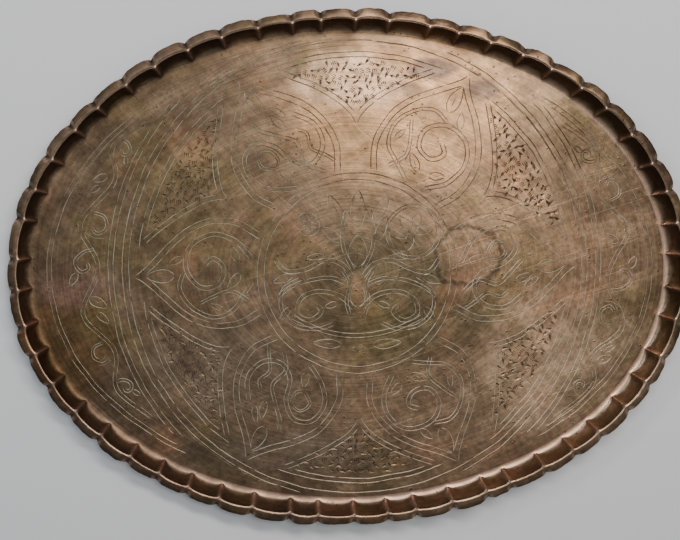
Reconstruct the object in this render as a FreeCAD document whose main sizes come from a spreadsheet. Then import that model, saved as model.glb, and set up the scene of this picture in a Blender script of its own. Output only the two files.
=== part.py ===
import FreeCAD, Part
import math
import os
import Sketcher

# Oval serving tray raised from one sheet of copper: a flat engraved floor, a low wall
# crimped into flutes, and a scalloped lip folded outward over a stiffening wire.
# +X is the long axis, +Z is up, and the floor's underside rests on z = 0.

VECTOR = FreeCAD.Vector

DIMENSIONS = [
    ("overall_length", 600.0, "over the lip, along X"),
    ("overall_width", 453.5, "over the lip, along Y"),
    ("tray_height", 23.0, "from the resting plane to the top of the fold"),
    ("sheet_thickness", 0.9, "copper sheet, the same everywhere"),
    ("flute_count", 54, "flutes round the wall, a fluted middle at each end of the long axis"),
    ("flute_bow", 1.5, "how far the fold bows outward between two crimps"),
    ("crimp_flare", 16.0, "lean of the wall at a crimp, degrees from upright"),
    ("flute_flare", 8.0, "lean of the wall in the middle of a flute, degrees from upright"),
    ("cove_radius", 7.5, "inner radius between floor and wall"),
    ("lip_length", 6.7, "straight part of the lip in the middle of a scallop"),
    ("crimp_lip_length", 5.9, "straight part of the lip at a crimp"),
    ("lip_slope", 17.0, "fall of the lip toward its edge, degrees"),
    ("wire_diameter", 1.4, "stiffening wire inside the fold"),
    ("wire_clearance", 0.1, "gap between the wire and the fold"),
    ("floor_inset", 20.0, "edge of the floor disc inside the crimp line"),
    ("rim_overlap", 2.0, "how far the rim ring reaches in under the edge of the floor disc"),
    ("ring_radius", 90.0, "outer engraved ring of the central medallion"),
    ("ring_step", 6.0, "distance between the two engraved rings"),
    ("ring_offset", 7.0, "medallion centre from the tray's centre, along X"),
    ("cut_width", 0.9, "width of an engraved ring"),
    ("cut_depth", 0.3, "depth of an engraved ring"),
]


def add_sheet(doc):
    """Write every dimension to an aliased cell of a spreadsheet."""
    sheet = doc.addObject("Spreadsheet::Sheet", "dimensions")
    for row, (name, value, meaning) in enumerate(DIMENSIONS, start=1):
        sheet.set("A%d" % row, name)
        sheet.set("B%d" % row, str(value))
        sheet.set("C%d" % row, meaning)
        sheet.setAlias("B%d" % row, name)
    doc.recompute()
    return sheet


def origin_plane(body, role):
    """The body's own origin plane with the given role."""
    for feature in body.Origin.OriginFeatures:
        if feature.Role == role:
            return feature
    raise RuntimeError("no plane with role " + role)


def fold_radius(size):
    """Outer radius of the fold that wraps the wire."""
    return size.wire_diameter / 2 + size.wire_clearance + size.sheet_thickness


def fold_height(size):
    """Height of the wire's centre, about which the sheet is folded."""
    return size.tray_height - fold_radius(size)


def lip_reach(size, lip_length):
    """Horizontal distance from the wire's centre to the lip's edge."""
    slope = math.radians(size.lip_slope)
    return fold_radius(size) * math.sin(slope) + lip_length * math.cos(slope)


class CrimpLine:
    """The ellipse through the wire's centre at every crimp, walked by equal arc lengths."""

    # pieces the ellipse is cut into to measure its length
    STEPS = 7200

    def __init__(self, size):
        reach = lip_reach(size, size.lip_length) + size.flute_bow
        self.half_length = size.overall_length / 2 - reach
        self.half_width = size.overall_width / 2 - reach
        self.lengths = [0.0]
        for step in range(self.STEPS):
            angle = 2 * math.pi * (step + 0.5) / self.STEPS
            pace = math.hypot(self.half_length * math.sin(angle), self.half_width * math.cos(angle))
            self.lengths.append(self.lengths[-1] + pace * 2 * math.pi / self.STEPS)

    def angle_at(self, share):
        """Ellipse parameter reached after a share of the whole perimeter, starting at +X."""
        target = (share % 1.0) * self.lengths[-1]
        low, high = 0, self.STEPS
        while high - low > 1:
            middle = (low + high) // 2
            if self.lengths[middle] <= target:
                low = middle
            else:
                high = middle
        part = (target - self.lengths[low]) / (self.lengths[high] - self.lengths[low])
        return 2 * math.pi * (low + part) / self.STEPS

    def station(self, share):
        """Foot point on the ellipse and the outward direction there."""
        angle = self.angle_at(share)
        foot = VECTOR(self.half_length * math.cos(angle), self.half_width * math.sin(angle), 0)
        outward = VECTOR(math.cos(angle) / self.half_length, math.sin(angle) / self.half_width, 0)
        return foot, outward.normalize()


def section_frame(line, share):
    """Function that puts a section point (outward distance, height) into space."""
    foot, outward = line.station(share)

    def place(point):
        return foot + outward * point[0] + VECTOR(0, 0, point[1])
    return place


def along(start, distance, degrees_up):
    """Section point reached from start by a distance in a direction above the horizontal."""
    angle = math.radians(degrees_up)
    return (start[0] + distance * math.cos(angle), start[1] + distance * math.sin(angle))


def arc_points(centre, radius, start, end):
    """First, middle and last section point of an arc given by its two directions."""
    return [along(centre, radius, start),
            along(centre, radius, (start + end) / 2),
            along(centre, radius, end)]


def sheet_outline(size, bow, flare, lip_length):
    """Section through the bent sheet, as a closed list of lines (2) and arcs (3 points)."""
    thick = size.sheet_thickness
    outer = fold_radius(size)
    inner = outer - thick
    crook = (bow, fold_height(size))
    lean = math.radians(flare)
    # the cove's centre lies where an arc touches both the floor's top and the wall's inside
    rise = thick + size.cove_radius - crook[1]
    cove_out = bow - (outer + size.cove_radius - rise * math.sin(lean)) / math.cos(lean)
    cove = (cove_out, thick + size.cove_radius)
    edge_in = -size.floor_inset - size.rim_overlap
    down, wall, over = -90.0, -flare, 90.0 - size.lip_slope

    cove_inside = arc_points(cove, size.cove_radius, down, wall)
    cove_outside = arc_points(cove, size.cove_radius + thick, wall, down)
    fold_outside = arc_points(crook, outer, 180.0 - flare, over)
    fold_inside = arc_points(crook, inner, over, 180.0 - flare)
    lip_top = along(fold_outside[2], lip_length, -size.lip_slope)
    lip_under = along(fold_inside[0], lip_length, -size.lip_slope)
    return [
        [(edge_in, thick), cove_inside[0]],
        cove_inside,
        [cove_inside[2], fold_outside[0]],
        fold_outside,
        [fold_outside[2], lip_top],
        [lip_top, lip_under],
        [lip_under, fold_inside[0]],
        fold_inside,
        [fold_inside[2], cove_outside[0]],
        cove_outside,
        [cove_outside[2], (edge_in, 0.0)],
        [(edge_in, 0.0), (edge_in, thick)],
    ]


def wire_outline(size, bow):
    """Section through the wire, as two half circles."""
    crook = (bow, fold_height(size))
    radius = size.wire_diameter / 2
    return [arc_points(crook, radius, 0.0, 180.0), arc_points(crook, radius, 180.0, 360.0)]


def section_wire(outline, place):
    """Turn a section outline into a wire standing in space."""
    edges = []
    for points in outline:
        corners = [place(point) for point in points]
        if len(corners) == 2:
            edges.append(Part.makeLine(*corners))
        else:
            edges.append(Part.Arc(*corners).toShape())
    return Part.Wire(edges)


def fluted_ring(size, crimp_outline, middle_outline):
    """Loft every flute from crimp to middle to crimp and sew the flutes into one solid ring."""
    line = CrimpLine(size)
    count = int(size.flute_count)
    crimps = []
    middles = []
    for index in range(count):
        crimps.append(section_wire(crimp_outline, section_frame(line, (index - 0.5) / count)))
        middles.append(section_wire(middle_outline, section_frame(line, index / count)))
    faces = []
    for index in range(count):
        sections = [crimps[index], middles[index], crimps[(index + 1) % count]]
        faces.extend(Part.makeLoft(sections, False, False).Faces)
    shell = Part.makeShell(faces)
    shell.sewShape()
    ring = Part.makeSolid(shell)
    if ring.Volume < 0:
        ring.reverse()
    return ring


def add_floor_disc(doc, size):
    """Flat oval floor with the two engraved rings of the medallion cut into its top."""
    body = doc.addObject("PartDesign::Body", "floor_disc")
    outline = body.newObject("Sketcher::SketchObject", "floor_outline")
    outline.AttachmentSupport = [(origin_plane(body, "XY_Plane"), "")]
    outline.MapMode = "FlatFace"
    length_end = VECTOR(size.overall_length / 2, 0, 0)
    width_end = VECTOR(0, size.overall_width / 2, 0)
    oval = outline.addGeometry(Part.Ellipse(length_end, width_end, VECTOR(0, 0, 0)), False)
    outline.exposeInternalGeometry(oval)
    long_axis, short_axis = oval + 1, oval + 2
    outline.addConstraint(Sketcher.Constraint("Coincident", oval, 3, -1, 1))
    outline.addConstraint(Sketcher.Constraint("Horizontal", long_axis))
    length = outline.addConstraint(Sketcher.Constraint("Distance", long_axis, size.overall_length))
    width = outline.addConstraint(Sketcher.Constraint("Distance", short_axis, size.overall_width))
    inset = ("2 * (dimensions.floor_inset + dimensions.flute_bow"
             " + dimensions.lip_length * cos(dimensions.lip_slope * 1 deg)"
             " + (dimensions.wire_diameter / 2 + dimensions.wire_clearance + dimensions.sheet_thickness)"
             " * sin(dimensions.lip_slope * 1 deg))")
    outline.setExpression("Constraints[%d]" % length, "dimensions.overall_length - " + inset)
    outline.setExpression("Constraints[%d]" % width, "dimensions.overall_width - " + inset)

    disc = body.newObject("PartDesign::Pad", "floor_pad")
    disc.Profile = outline
    disc.setExpression("Length", "dimensions.sheet_thickness")

    rings = body.newObject("Sketcher::SketchObject", "ring_outlines")
    rings.AttachmentSupport = [(origin_plane(body, "XY_Plane"), "")]
    rings.MapMode = "FlatFace"
    rings.setExpression("AttachmentOffset.Base.z", "dimensions.sheet_thickness")
    centre = None
    for inward in ("0", "dimensions.cut_width", "dimensions.ring_step",
                   "dimensions.ring_step + dimensions.cut_width"):
        ring = Part.Circle(VECTOR(size.ring_offset, 0, 0), VECTOR(0, 0, 1), size.ring_radius)
        circle = rings.addGeometry(ring, False)
        if centre is None:
            centre = circle
            rings.addConstraint(Sketcher.Constraint("PointOnObject", circle, 3, -1))
            offset = rings.addConstraint(Sketcher.Constraint("DistanceX", -1, 1, circle, 3, size.ring_offset))
            rings.setExpression("Constraints[%d]" % offset, "dimensions.ring_offset")
        else:
            rings.addConstraint(Sketcher.Constraint("Coincident", circle, 3, centre, 3))
        radius = rings.addConstraint(Sketcher.Constraint("Radius", circle, size.ring_radius))
        rings.setExpression("Constraints[%d]" % radius, "dimensions.ring_radius - (%s)" % inward)

    cut = body.newObject("PartDesign::Pocket", "ring_cut")
    cut.Profile = rings
    cut.setExpression("Length", "dimensions.cut_depth")
    body.Tip = cut
    return body


def add_tray_pan(doc, size):
    """One sheet of copper: the floor disc and the fluted rim fused into one piece."""
    floor = add_floor_disc(doc, size)
    rim = doc.addObject("Part::Feature", "fluted_rim")
    rim.Shape = fluted_ring(
        size,
        sheet_outline(size, 0.0, size.crimp_flare, size.crimp_lip_length),
        sheet_outline(size, size.flute_bow, size.flute_flare, size.lip_length))
    rim.Placement = FreeCAD.Placement()
    pan = doc.addObject("Part::MultiFuse", "tray_pan")
    pan.Shapes = [floor, rim]
    pan.Refine = True
    pan.Label = "tray_pan"
    pan.Placement = FreeCAD.Placement()
    return pan


def add_rim_wire(doc, size):
    """Wire round the rim, lying in the fold and following every flute."""
    wire = doc.addObject("Part::Feature", "rim_wire")
    wire.Shape = fluted_ring(size, wire_outline(size, 0.0), wire_outline(size, size.flute_bow))
    wire.Label = "rim_wire"
    wire.Placement = FreeCAD.Placement()
    return wire


def check_document(doc, nodes):
    """Stop before anything is written if an object failed or a shape is unsound."""
    for item in doc.Objects:
        for state in item.State:
            if state in ("Invalid", "Error"):
                raise RuntimeError("%s: %s" % (item.Name, state))
    for node in nodes:
        if node.Shape.isNull() or not node.Shape.isValid():
            raise RuntimeError("unsound shape: " + node.Label)
        if len(node.Shape.Solids) != 1:
            raise RuntimeError("not one solid: " + node.Label)
    pad = doc.getObject("floor_pad").Shape.Volume
    cut = doc.getObject("ring_cut").Shape.Volume
    if not cut < pad:
        raise RuntimeError("the engraved rings cut nothing")


def main():
    os.makedirs("parts", exist_ok=True)
    doc = FreeCAD.newDocument("copper_tray")
    size = add_sheet(doc)
    nodes = [add_tray_pan(doc, size), add_rim_wire(doc, size)]
    doc.recompute()
    check_document(doc, nodes)
    for node in nodes:
        node.Shape.exportStep("parts/%s.step" % node.Label)
        box = node.Shape.BoundBox
        print("%s: %.1f x %.1f x %.2f mm, %d faces, %.0f mm3" % (
            node.Label, box.XLength, box.YLength, box.ZLength, len(node.Shape.Faces), node.Shape.Volume))


main()
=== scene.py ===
import math
import random

import bmesh
import bpy
import numpy as np
from mathutils import Matrix, Vector, noise
from mathutils.geometry import delaunay_2d_cdt
from mathutils.kdtree import KDTree


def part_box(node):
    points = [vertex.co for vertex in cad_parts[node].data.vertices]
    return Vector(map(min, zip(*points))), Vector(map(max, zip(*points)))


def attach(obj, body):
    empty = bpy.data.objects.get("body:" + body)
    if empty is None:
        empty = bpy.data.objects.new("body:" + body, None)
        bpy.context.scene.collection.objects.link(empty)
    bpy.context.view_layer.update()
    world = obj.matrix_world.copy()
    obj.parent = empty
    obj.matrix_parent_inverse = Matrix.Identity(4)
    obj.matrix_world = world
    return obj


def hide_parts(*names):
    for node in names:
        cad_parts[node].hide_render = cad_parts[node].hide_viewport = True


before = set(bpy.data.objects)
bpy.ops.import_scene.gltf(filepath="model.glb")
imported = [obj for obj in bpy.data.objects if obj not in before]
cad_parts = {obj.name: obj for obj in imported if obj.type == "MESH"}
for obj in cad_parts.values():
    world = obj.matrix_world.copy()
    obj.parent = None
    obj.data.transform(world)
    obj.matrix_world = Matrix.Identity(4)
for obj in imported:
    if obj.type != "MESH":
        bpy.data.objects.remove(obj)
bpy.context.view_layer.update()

# The oval copper tray, seen lying on a pale floor. Lengths are millimetres in the frame of
# the CAD model, and are turned into metres when a mesh is written. Section points are
# (outward distance from the crimp line, height).
MM = 0.001

_, PAN_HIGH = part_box("tray_pan")

# the sheet, as in the CAD model
SHEET = 0.9
FOLD_RADIUS = 1.7
WIRE_RADIUS = 0.7
FLUTES = 54
BOW = 1.5
LIP_LENGTH = 6.7
CRIMP_LIP_LENGTH = 5.9
LIP_SLOPE = math.radians(17.0)
RIM_REACH = FOLD_RADIUS * math.sin(LIP_SLOPE) + LIP_LENGTH * math.cos(LIP_SLOPE) + BOW
HALF_LENGTH = PAN_HIGH[0] / MM - RIM_REACH
HALF_WIDTH = PAN_HIGH[1] / MM - RIM_REACH
FOLD_HEIGHT = PAN_HIGH[2] / MM - FOLD_RADIUS

# the cove between floor and wall, whose first few degrees bend more gently than the rest
COVE_RADIUS = 7.5
COVE_FOOT = -11.6
FLOOR_EDGE = -12.6
EASY_TURN = math.radians(15.0)
EASY_RADIUS, TIGHT_RADIUS = 2.0, 0.8

# rows of points in each part of the sheet's section, and the shape of its wall and lip
EASY_ROWS = 2
COVE_ROWS = 7
WALL_ROWS = 4
FOLD_ROWS = 6
LIP_ROWS = 5
SECTION_ROWS = 2 + COVE_ROWS + WALL_ROWS + FOLD_ROWS + LIP_ROWS
LIP_CURL = 0.7
WALL_LEAN = math.radians(7.0)

# engraving
ORNAMENT_X = 3.6
MEDALLION_Y = -2.7
BORDER_RADII = (202.3, 207.6)
MEDALLION_RADII = (89.5, 83.5)
LINE_WIDTH = 0.98
LINE_DEPTH = 0.32
PIT_DEPTH = 0.75
LINE, PIT = 0, 1
# step between the points of a stroke, and a reach that takes in a whole small motif at once
STATION = 2.0
UNBROKEN = (60.0, 90.0)


# ---------------------------------------------------------------- small curve tools

def polar(centre, radius, angle):
    """Point at a distance and angle (radians) from a centre."""
    return (centre[0] + radius * math.cos(angle), centre[1] + radius * math.sin(angle))


def arc(centre, radius, start, end):
    """Points along an arc, angles in degrees."""
    count = max(4, int(abs(end - start) / 4))
    turns = np.radians(np.linspace(start, end, count + 1))
    return np.stack([centre[0] + radius * np.cos(turns), centre[1] + radius * np.sin(turns)], 1)


def bezier(a, b, c, d, count=24):
    """Cubic curve with end points a and d and handles b and c."""
    a, b, c, d = (np.array(p, float) for p in (a, b, c, d))
    t = np.linspace(0.0, 1.0, count + 1)[:, None]
    return (1 - t) ** 3 * a + 3 * (1 - t) ** 2 * t * b + 3 * (1 - t) * t ** 2 * c + t ** 3 * d


def through(points, steps=8):
    """Smooth curve through a few points (Catmull-Rom)."""
    p = np.array(points, float)
    p = np.vstack([2 * p[0] - p[1], p, 2 * p[-1] - p[-2]])
    t = np.linspace(0.0, 1.0, steps, endpoint=False)[:, None]
    spans = []
    for a, b, c, d in zip(p[:-3], p[1:-2], p[2:-1], p[3:]):
        spans.append(0.5 * (2 * b + (c - a) * t + (2 * a - 5 * b + 4 * c - d) * t ** 2
                            + (3 * b - a - 3 * c + d) * t ** 3))
    return np.vstack(spans + [p[-2][None]])


def resample(points, spacing):
    """The same line with even steps of about the given spacing."""
    p = np.asarray(points, float)
    lengths = np.concatenate([[0.0], np.cumsum(np.linalg.norm(np.diff(p, axis=0), axis=1))])
    count = max(2, int(round(lengths[-1] / spacing)))
    at = np.linspace(0.0, lengths[-1], count + 1)
    return np.stack([np.interp(at, lengths, p[:, 0]), np.interp(at, lengths, p[:, 1])], 1)


def sideways(points):
    """Unit vectors to the left of a line at each of its points."""
    ahead = np.gradient(points, axis=0)
    ahead /= np.maximum(np.linalg.norm(ahead, axis=1), 1e-9)[:, None]
    return np.stack([-ahead[:, 1], ahead[:, 0]], 1)


def beside(points, distance):
    """A line parallel to another, to its left."""
    p = resample(points, 1.5)
    return p + sideways(p) * distance


def turned(points, degrees, centre=(0.0, 0.0)):
    """Points given as (along, across) turned to point in a direction from a centre."""
    p = np.atleast_2d(np.asarray(points, float))
    angle = math.radians(degrees)
    along = np.array([math.cos(angle), math.sin(angle)])
    across = np.array([-along[1], along[0]])
    return np.asarray(centre, float) + p[:, :1] * along + p[:, 1:] * across


# ---------------------------------------------------------------- the line of the crimps

class CrimpLine:
    """Oval line through the crimps, slightly uneven, addressed by share of its length from +X."""

    SAMPLES = 7200
    UNEVEN = ((2, 0.7, 0.4), (3, 0.9, 2.1), (5, 0.5, 4.0), (9, 0.25, 1.3))

    def __init__(self):
        self.turn = np.linspace(0.0, 2 * np.pi, self.SAMPLES + 1)
        x = HALF_LENGTH * np.cos(self.turn)
        y = HALF_WIDTH * np.sin(self.turn)
        steps = np.hypot(np.diff(x), np.diff(y))
        self.length = steps.sum()
        self.share = np.concatenate([[0.0], np.cumsum(steps)]) / self.length
        self.tree = None

    def at(self, share):
        """Foot points and outward directions."""
        share = np.asarray(share, float) % 1.0
        turn = np.interp(share, self.share, self.turn)
        foot = np.stack([HALF_LENGTH * np.cos(turn), HALF_WIDTH * np.sin(turn)], -1)
        outward = np.stack([np.cos(turn) / HALF_LENGTH, np.sin(turn) / HALF_WIDTH], -1)
        outward /= np.linalg.norm(outward, axis=-1, keepdims=True)
        uneven = sum(size * np.sin(2 * np.pi * waves * share + phase)
                     for waves, size, phase in self.UNEVEN)
        return foot + outward * uneven[..., None], outward

    def outward_distance(self, points):
        """How far each point lies outside the line; negative inside."""
        if self.tree is None:
            self.feet, self.outward = self.at(np.arange(self.SAMPLES) / self.SAMPLES)
            self.tree = KDTree(self.SAMPLES)
            for index, foot in enumerate(self.feet):
                self.tree.insert((foot[0], foot[1], 0.0), index)
            self.tree.balance()
        distances = np.empty(len(points))
        for index, point in enumerate(points):
            near = self.tree.find((point[0], point[1], 0.0))[1]
            distances[index] = (point - self.feet[near]) @ self.outward[near]
        return distances


# ---------------------------------------------------------------- the rim

# where the columns of the mesh stand in half a flute, as shares of the whole flute
HALF_COLUMNS = (0.0, 0.02, 0.045, 0.08, 0.13, 0.19, 0.27, 0.36, 0.45)


def rim_columns(line, draw):
    """Share, share within the flute, distance from the nearest crimp and flute number."""
    jitter = [draw.gauss(0.0, 0.075) for _ in range(FLUTES)]
    crimps = [(index - 0.5 + jitter[index]) / FLUTES for index in range(FLUTES)]
    crimps.append(crimps[0] + 1.0)
    within = list(HALF_COLUMNS) + [1.0 - step for step in reversed(HALF_COLUMNS[1:])]
    shares, steps, near, flute = [], [], [], []
    for index in range(FLUTES):
        span = crimps[index + 1] - crimps[index]
        for step in within:
            shares.append(crimps[index] + step * span)
            steps.append(step)
            near.append(min(step, 1.0 - step) * span * line.length)
            flute.append(index)
    return np.array(shares), np.array(steps), np.array(near), np.array(flute)


def bend(start, heading, end, radius, rows):
    """Section points after start along a bend that turns upward from one heading to another."""
    points = []
    for row in range(1, rows + 1):
        now = heading + (end - heading) * row / rows
        points.append(start + radius * np.array([math.sin(now) - math.sin(heading),
                                                 math.cos(heading) - math.cos(now)]))
    return points


def sheet_section(radius, heading, bow, lip_length):
    """Upper side of the sheet from the floor's edge to the lip's edge."""
    points = [np.array([FLOOR_EDGE, SHEET]), np.array([COVE_FOOT, SHEET])]
    points += bend(points[-1], 0.0, EASY_TURN, EASY_RADIUS * radius, EASY_ROWS)
    points += bend(points[-1], EASY_TURN, heading, TIGHT_RADIUS * radius, COVE_ROWS - EASY_ROWS)
    foot = points[-1]
    crook = np.array([bow, FOLD_HEIGHT])
    fold_start = crook + FOLD_RADIUS * np.array([-math.cos(WALL_LEAN), math.sin(WALL_LEAN)])
    handle = np.linalg.norm(fold_start - foot) / 2.4
    leave = foot + handle * np.array([math.cos(heading), math.sin(heading)])
    arrive = fold_start - handle * np.array([math.sin(WALL_LEAN), math.cos(WALL_LEAN)])
    points += list(bezier(foot, leave, arrive, fold_start, WALL_ROWS)[1:])
    first, last = math.pi - WALL_LEAN, math.pi / 2 - LIP_SLOPE
    for row in range(1, FOLD_ROWS + 1):
        angle = first + (last - first) * row / FOLD_ROWS
        points.append(crook + FOLD_RADIUS * np.array([math.cos(angle), math.sin(angle)]))
    root = points[-1]
    for row in range(1, LIP_ROWS + 1):
        part = row / LIP_ROWS
        out = lip_length * part
        fall = out * math.sin(LIP_SLOPE) + LIP_CURL * (part ** 2 - part)
        points.append(root + np.array([out * math.cos(LIP_SLOPE), -fall]))
    return np.array(points)


def wander(share, pitch, seed):
    """Smooth noise along the rim."""
    return np.array([noise.noise(Vector((s * pitch, seed, 0.0))) for s in share])


class RimPlan:
    """Places of the rim's rows and columns, and how strongly each feature shows at them."""

    def __init__(self, line, draw, rows):
        self.share, self.step, self.near, self.flute = rim_columns(line, draw)
        self.row = np.arange(rows)
        self.cove_to = 1 + COVE_ROWS
        self.lip_from = rows - 1 - LIP_ROWS
        self.wall_to = self.lip_from - FOLD_ROWS
        self.crest_row = self.wall_to + FOLD_ROWS // 2
        self.along_lip = np.clip((self.row - self.lip_from) / LIP_ROWS, 0.0, 1.0)[:, None]
        self.along_fold = np.clip((self.row - self.wall_to) / (FOLD_ROWS / 2), 0.0, 1.0)[:, None]
        self.side = np.abs(2 * self.step - 1)
        # the pinched rib at each crimp stands inward from the wall and ends on the cove
        rib_rows = [4, 6, self.cove_to, self.wall_to, self.crest_row, self.lip_from]
        self.rib_height = np.interp(self.row, rib_rows, [0.0, 1.3, 2.3, 1.9, 0.6, 0.0])[:, None]
        self.rib = np.exp(-(self.near / 1.75) ** 1.9)
        # the lip is creased at each crimp, and a small knob stands there on the ridge
        self.crease = np.exp(-(self.near / 1.3) ** 2)
        at_crest = np.exp(-((self.row - self.crest_row) / 1.1) ** 2)[:, None]
        self.knob = np.exp(-(self.near / 0.9) ** 2) * at_crest


def rim_shape(plan, swell, draw):
    """Outward distance and height of the sheet's upper side, as arrays of (rows, columns)."""
    crimp = sheet_section(0.6 * COVE_RADIUS, math.radians(73), 0.0, CRIMP_LIP_LENGTH)
    middle = sheet_section(1.15 * COVE_RADIUS, math.radians(66), BOW, LIP_LENGTH)
    niche, ridge, scallop = (1 - plan.side ** power for power in (2.6, 2.0, 3.2))
    weight = niche + (ridge - niche) * plan.along_fold
    weight = weight + (scallop - weight) * plan.along_lip
    droop = np.array([draw.gauss(0.0, 0.5) for _ in range(FLUTES)])[plan.flute] * np.sin(np.pi * plan.step)
    twist = np.array([draw.gauss(0.25, 0.45) for _ in range(FLUTES)])[plan.flute]
    twist = twist * np.sin(2 * np.pi * plan.step)

    out = crimp[:, :1] + (middle - crimp)[:, :1] * weight * (1 + (swell - 1) * plan.along_fold)
    out = out - plan.rib_height * plan.rib
    out = out + 0.5 * plan.along_lip * wander(plan.share, 230, 3.0)
    out = out + 0.35 * plan.along_fold * wander(plan.share, 420, 8.0)

    shoulder = np.exp(-(plan.near / 3.6) ** 2)
    fall = 0.5 * plan.side ** 2 + 1.9 * shoulder + 0.9 * plan.crease
    up = crimp[:, 1:] + (middle - crimp)[:, 1:] * weight
    up = up + plan.along_lip * (droop + twist - fall) + 0.5 * plan.knob
    return out, up


def underside(out, up):
    """The same section one sheet thickness below."""
    d_out, d_up = np.gradient(out, axis=0), np.gradient(up, axis=0)
    size = np.maximum(np.hypot(d_out, d_up), 1e-9)
    return out + SHEET * d_up / size, up - SHEET * d_out / size


def rim_masks(plan, out, up, foot):
    """How far each point is made pale, by rubbing and by painted highlights, and how far it is made dark,
    by painted shade and dirt.
    """
    # pale marks: real rubbing on the crest and the ribs, and painted highlights as glints on the lip's
    # shoulders beside each crimp, as bright dots on the knobs and as a band along the cove's foot
    crest = 0.7 * np.exp(-((plan.row - plan.crest_row - 0.3) / 0.8) ** 2)[:, None]
    glints = 0.95 * np.exp(-((plan.near - 3.0) / 1.1) ** 2) * plan.along_lip
    cove = cove_polish_and_highlight(out, *foot.T) * (up < FOLD_HEIGHT / 2)
    wear_and_highlight = crest + 0.28 * plan.rib_height * plan.rib + plan.knob + glints + cove
    # painted shade down the wall of each niche: none at the cove's foot, deepest high on the wall, none on
    # the ridge; the pinched ribs stand out of it
    shade = np.interp(plan.row, [plan.cove_to - 3, plan.cove_to, plan.cove_to + 2,
                                 plan.wall_to, plan.wall_to + 1, plan.crest_row],
                      [0.0, 0.12, 0.66, 0.94, 0.95, 0.0])[:, None]
    # the lip is painted darker: painted shade, deeper toward the crimps and in their creases, with dirt in
    # patches along the rim
    lip_shade_and_dirt = 0.62 + 0.5 * wander(plan.share, 70, 5.0) + 0.2 * plan.side ** 2 + 0.6 * plan.crease
    painted_shade_and_dirt = shade * (1 - 0.8 * plan.rib) + plan.along_lip * lip_shade_and_dirt
    return np.clip(wear_and_highlight, 0, 1), np.clip(painted_shade_and_dirt, 0, 1)


def rim_grid(line, draw):
    """Upper and under side of the rim as grids of points, its two masks and the wire's centre line."""
    plan = RimPlan(line, draw, SECTION_ROWS)
    swell = np.array([draw.uniform(0.55, 1.45) for _ in range(FLUTES)])[plan.flute]
    out, up = rim_shape(plan, swell, draw)
    foot, outward = line.at(plan.share)

    def in_space(distance, height):
        flat = foot[None] + outward[None] * distance[..., None]
        return np.concatenate([flat, height[..., None]], -1)

    wear_and_highlight, painted_shade_and_dirt = rim_masks(plan, out, up, foot)
    bow = BOW * (1 - plan.side ** 2) * swell
    crook = in_space(bow[None], np.full((1, len(bow)), FOLD_HEIGHT))[0]
    return in_space(out, up), in_space(*underside(out, up)), wear_and_highlight, painted_shade_and_dirt, crook


# ---------------------------------------------------------------- engraving

class Graver:
    """Collects hand-cut strokes: centre line, half width and depth at each station."""

    def __init__(self, line, seed):
        self.line = line
        self.draw = random.Random(seed)
        # vector noise takes its offsets from the clock unless it is seeded
        noise.seed_set(seed)
        self.strokes = []

    def add(self, points, width, depth):
        """One tapered stroke, where the floor has room for it."""
        share = np.linspace(0.0, 1.0, len(points))
        taper = np.clip(np.minimum(share, 1 - share) * (len(points) - 1) / 1.5, 0.0, 1.0)
        inside = self.line.outward_distance(points) < FLOOR_EDGE - 1.0
        if inside.all():
            self.strokes.append((points, taper * width / 2, taper * depth, LINE))

    def cut(self, points, width=LINE_WIDTH, depth=LINE_DEPTH, reach=(16.0, 34.0), spacing=STATION):
        """A long line, cut in several strokes as the hand moves along."""
        p = resample(points, spacing)
        drift = np.array([noise.noise_vector(Vector((x / 22, y / 22, 0.0))).xy for x, y in p])
        shake = np.array([noise.noise_vector(Vector((x / 5, y / 5, 9.0))).xy for x, y in p])
        p = p + 0.9 * drift + 0.18 * shake
        left = sideways(p)
        start = 0
        while start < len(p) - 3:
            count = int(self.draw.uniform(*reach) / spacing)
            end = min(len(p), start + count + 1)
            if len(p) - end < 3:
                end = len(p)
            aside = np.linspace(self.draw.gauss(0.0, 0.1), self.draw.gauss(0.0, 0.1), end - start)
            heavy = self.draw.uniform(0.78, 1.15)
            self.add(p[start:end] + left[start:end] * aside[:, None], width * heavy, depth * heavy)
            start = end - self.draw.choice((1, 3, 3, 3))

    def double(self, points, gap, **style):
        """Two parallel lines."""
        self.cut(beside(points, gap / 2), **style)
        self.cut(beside(points, -gap / 2), **style)

    def chop(self, centre, degrees, length, width, depth):
        """One blow of a small chisel: a wedge-shaped pit, deep at one end."""
        if self.line.outward_distance(np.array([centre]))[0] < FLOOR_EDGE - 4.0:
            spine = np.array([(-0.5, 0.0), (0.0, 0.0), (0.35, 0.0), (0.5, 0.0)]) * length
            self.strokes.append((turned(spine, degrees, centre), width * np.array([0.0, 0.3, 0.5, 0.0]),
                                 depth * np.array([0.0, 0.6, 1.0, 0.0]), PIT))


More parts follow.
